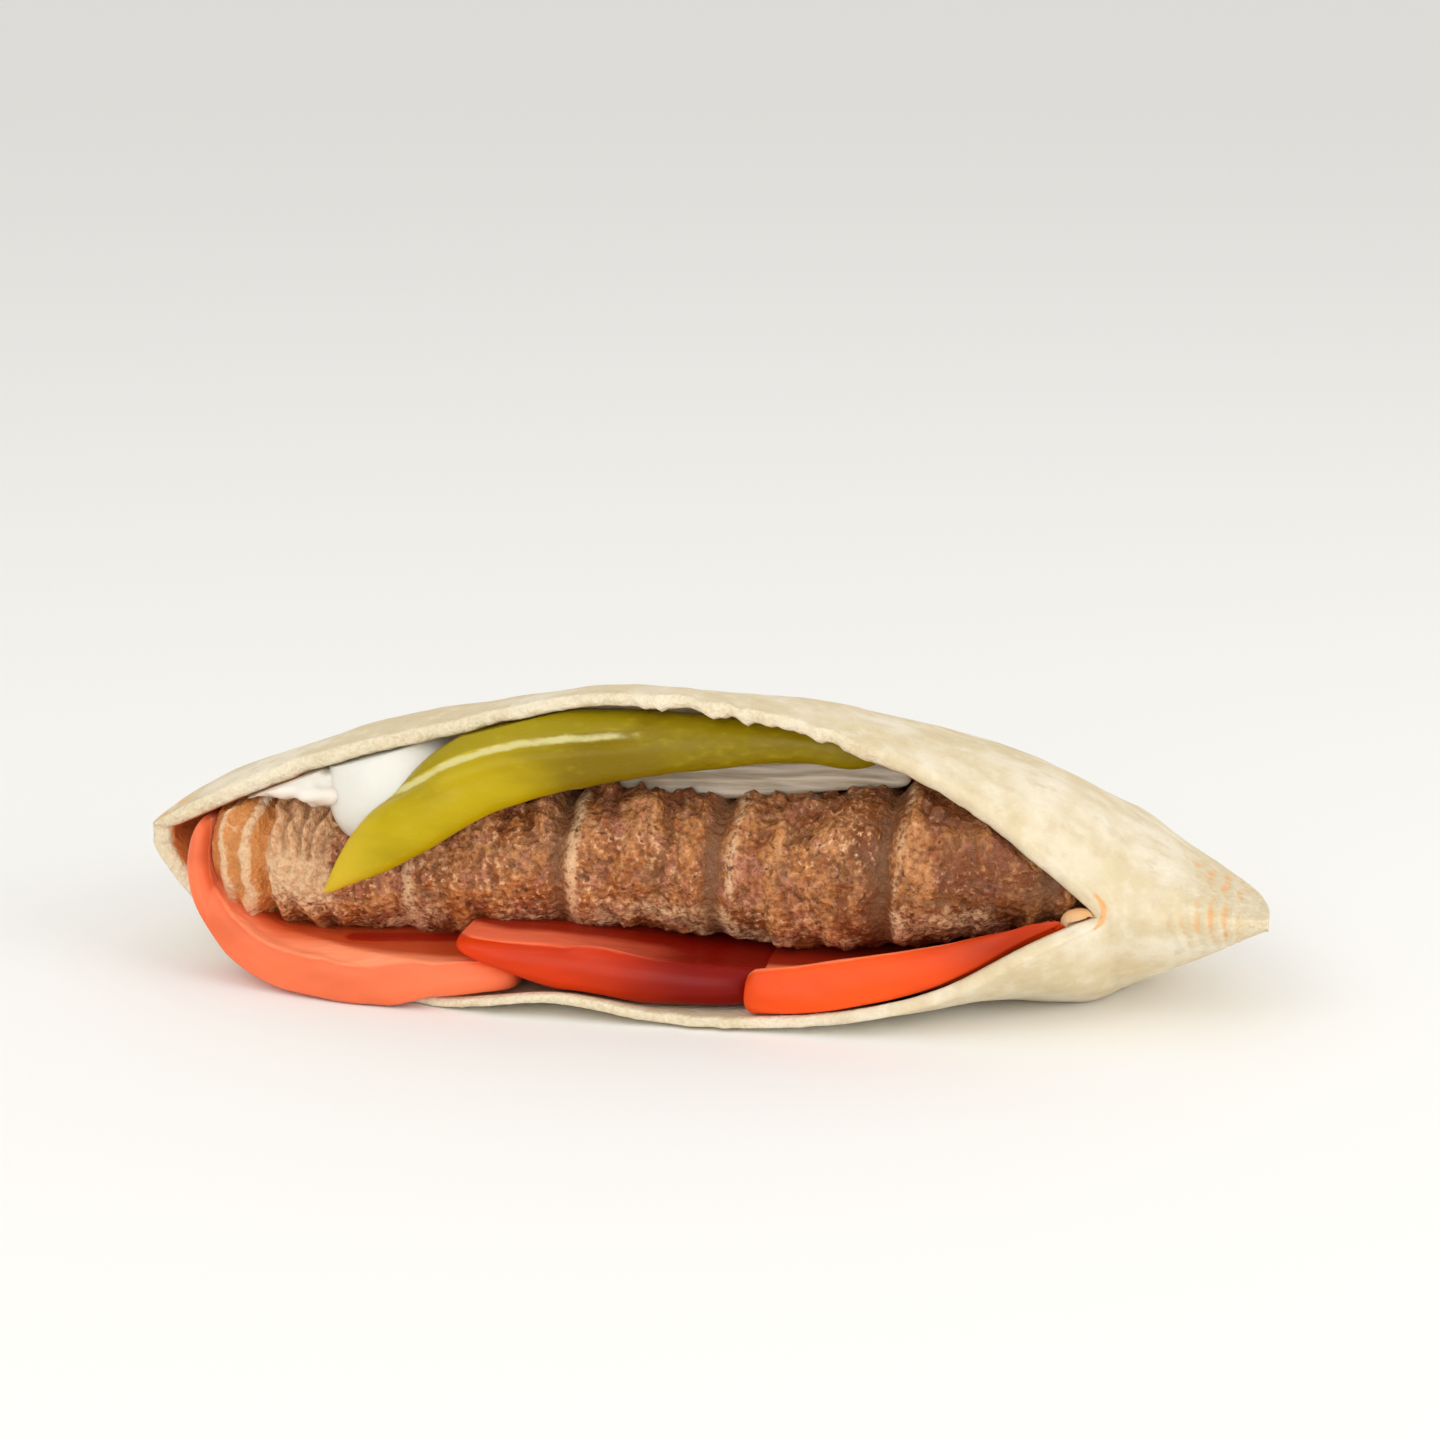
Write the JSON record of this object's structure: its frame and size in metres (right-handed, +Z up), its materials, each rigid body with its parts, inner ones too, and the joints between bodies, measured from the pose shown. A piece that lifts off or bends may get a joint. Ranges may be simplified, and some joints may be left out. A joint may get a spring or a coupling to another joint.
{
  "type": "kebab sandwich half",
  "caption": "Half a pita pocket lying on its belly, its cut mouth showing a grilled minced-meat kebab on tomato slices with a pickled pepper, onion and white sauce.",
  "frame": {"origin": "on the surface the half rests on, under the centre of its bounding box", "axes": "+X along the cut mouth towards the end that stays shut, +Y from the mouth to the round rim, +Z up"},
  "size_m": [0.196, 0.0961, 0.0546],
  "materials": {
    "bread": "floury baked flatbread",
    "meat": "crumbly grilled minced meat",
    "tomato": "wet cut tomato with skin",
    "pepper": "wet pickled pepper skin",
    "onion": "moist raw onion",
    "sauce": "thick white sauce"
  },
  "bodies": {
    "root": {"pita": "bread", "kebab": "meat", "tomato_left": "tomato", "tomato_middle": "tomato", "tomato_right": "tomato", "pepper": "pepper", "onion": "onion", "sauce": "sauce"}
  },
  "joints": []
}
